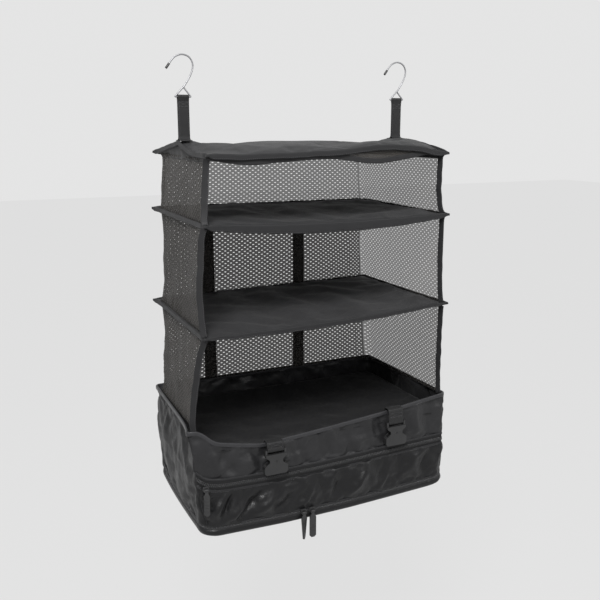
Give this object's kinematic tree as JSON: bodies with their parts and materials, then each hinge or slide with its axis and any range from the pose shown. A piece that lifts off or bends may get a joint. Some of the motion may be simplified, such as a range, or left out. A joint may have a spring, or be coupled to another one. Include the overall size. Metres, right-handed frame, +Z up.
{
  "type": "hanging packing cube",
  "caption": "Collapsible hanging clothes organiser: a zipped base bag with mesh-sided shelves above it, straps with wire hooks, and side-release buckles that hold it folded.",
  "frame": {"origin": "midway between the seats of the wire hooks, level with the top of a rail they hang on", "axes": "+X to the right and -Y towards the open front as one faces it, +Z up"},
  "size_m": [0.4968, 0.3158, 0.8318],
  "materials": {
    "hook_wire": "polished round steel wire",
    "hook_rubber": "matt dipped rubber",
    "mesh": "open warp-knit polyester mesh",
    "binding_tape": "folded grosgrain binding, stitched",
    "zip_tape": "woven zip tape",
    "webbing": "woven polypropylene webbing",
    "stiffener": "thin polyethylene sheet",
    "zip_coil": "nylon coil",
    "zip_metal": "black painted die casting",
    "pull_rubber": "matt moulded rubber",
    "buckle_plastic": "fine-grained moulded acetal",
    "panel_fabric": "plain-woven nylon over a board",
    "bag_fabric": "light ripstop nylon with a soft sheen"
  },
  "bodies": {
    "hooks": {"left_hook": "hook_wire", "right_hook": "hook_wire", "left_hook_tip": "hook_rubber", "right_hook_tip": "hook_rubber"},
    "top_panel": {"top_panel_cover": "panel_fabric", "top_panel_board": "stiffener", "top_panel_edging": "binding_tape", "top_valance": "binding_tape", "left_hanging_strap": "webbing", "right_hanging_strap": "webbing", "upper_left_mesh": "mesh", "upper_left_tape": "binding_tape", "upper_right_mesh": "mesh", "upper_right_tape": "binding_tape", "upper_back_mesh": "mesh"},
    "upper_shelf": {"upper_shelf_cover": "panel_fabric", "upper_shelf_board": "stiffener", "upper_shelf_edging": "binding_tape", "left_rear_strap": "webbing", "right_rear_strap": "webbing", "middle_left_mesh": "mesh", "middle_left_tape": "binding_tape", "middle_right_mesh": "mesh", "middle_right_tape": "binding_tape", "middle_back_mesh": "mesh"},
    "lower_shelf": {"lower_shelf_cover": "panel_fabric", "lower_shelf_board": "stiffener", "lower_shelf_edging": "binding_tape", "lower_left_mesh": "mesh", "lower_left_tape": "binding_tape", "lower_right_mesh": "mesh", "lower_right_tape": "binding_tape", "lower_back_mesh": "mesh"},
    "base_bag": {"base_front_upper": "bag_fabric", "base_front_lower": "bag_fabric", "base_left_wall": "bag_fabric", "base_right_wall": "bag_fabric", "base_back_wall": "bag_fabric", "rim_tape": "binding_tape", "deck": "panel_fabric", "front_zip_tape": "zip_tape", "front_zip_coil": "zip_coil", "bottom_zip_coil": "zip_coil", "left_front_webbing": "webbing", "right_front_webbing": "webbing"},
    "bottom_lid": {"bottom_panel": "bag_fabric", "bottom_board": "stiffener"},
    "front_slider": {"front_zip_slider": "zip_metal"},
    "front_pull": {"front_zip_pull": "pull_rubber"},
    "left_bottom_slider": {"bottom_left_slider": "zip_metal"},
    "left_bottom_pull": {"bottom_left_pull": "pull_rubber"},
    "right_bottom_slider": {"bottom_right_slider": "zip_metal"},
    "right_bottom_pull": {"bottom_right_pull": "pull_rubber"},
    "left_socket": {"left_front_buckle": "buckle_plastic"},
    "right_socket": {"right_front_buckle": "buckle_plastic"},
    "left_plug": {"left_rear_buckle": "buckle_plastic"},
    "right_plug": {"right_rear_buckle": "buckle_plastic"}
  },
  "joints": [
    {"name": "bag_swing", "type": "hinge", "parent": "hooks", "child": "top_panel", "pos_m": [0, 0, -0.0655], "axis": [1, 0, 0], "range_deg": [-90, 90]},
    {"name": "upper_tier_fold", "type": "slide", "parent": "top_panel", "child": "upper_shelf", "axis": [0, 0, 1], "range_m": [0, 0.073], "deforming": ["upper_left_mesh", "upper_left_tape", "upper_right_mesh", "upper_right_tape", "upper_back_mesh"]},
    {"name": "middle_tier_fold", "type": "slide", "parent": "upper_shelf", "child": "lower_shelf", "axis": [0, 0, 1], "range_m": [0, 0.144], "deforming": ["middle_left_mesh", "middle_left_tape", "middle_right_mesh", "middle_right_tape", "middle_back_mesh"]},
    {"name": "lower_tier_fold", "type": "slide", "parent": "lower_shelf", "child": "base_bag", "axis": [0, 0, 1], "range_m": [0, 0.158], "deforming": ["lower_left_mesh", "lower_left_tape", "lower_right_mesh", "lower_right_tape", "lower_back_mesh"]},
    {"name": "bottom_lid_open", "type": "hinge", "parent": "base_bag", "child": "bottom_lid", "pos_m": [0, 0.142, -0.78], "axis": [1, 0, 0], "range_deg": [0, 90]},
    {"name": "front_zip_travel", "type": "slide", "parent": "base_bag", "child": "front_slider", "axis": [1, 0, 0], "range_m": [0, 0.46]},
    {"name": "front_pull_swing", "type": "hinge", "parent": "front_slider", "child": "front_pull", "pos_m": [-0.232, -0.1496, -0.699], "axis": [1, 0, 0], "range_deg": [-150, 5]},
    {"name": "left_bottom_zip_travel", "type": "slide", "parent": "base_bag", "child": "left_bottom_slider", "axis": [1, 0, 0], "range_m": [-0.17, 0]},
    {"name": "left_bottom_pull_swing", "type": "hinge", "parent": "left_bottom_slider", "child": "left_bottom_pull", "pos_m": [-0.054, -0.1496, -0.77885], "axis": [1, 0, 0], "range_deg": [-90, 20]},
    {"name": "right_bottom_zip_travel", "type": "slide", "parent": "base_bag", "child": "right_bottom_slider", "axis": [1, 0, 0], "range_m": [0, 0.26]},
    {"name": "right_bottom_pull_swing", "type": "hinge", "parent": "right_bottom_slider", "child": "right_bottom_pull", "pos_m": [-0.037, -0.1496, -0.77885], "axis": [1, 0, 0], "range_deg": [-90, 20]},
    {"name": "left_socket_swing", "type": "hinge", "parent": "base_bag", "child": "left_socket", "pos_m": [-0.109, -0.1506, -0.649], "axis": [1, 0, 0], "range_deg": [-110, 2]},
    {"name": "right_socket_swing", "type": "hinge", "parent": "base_bag", "child": "right_socket", "pos_m": [0.129, -0.1506, -0.639], "axis": [1, 0, 0], "range_deg": [-110, 2]},
    {"name": "left_plug_swing", "type": "hinge", "parent": "upper_shelf", "child": "left_plug", "pos_m": [-0.119, 0.156, -0.618], "axis": [1, 0, 0], "range_deg": [-10, 110]},
    {"name": "right_plug_swing", "type": "hinge", "parent": "upper_shelf", "child": "right_plug", "pos_m": [0.076, 0.156, -0.618], "axis": [1, 0, 0], "range_deg": [-10, 110]}
  ]
}
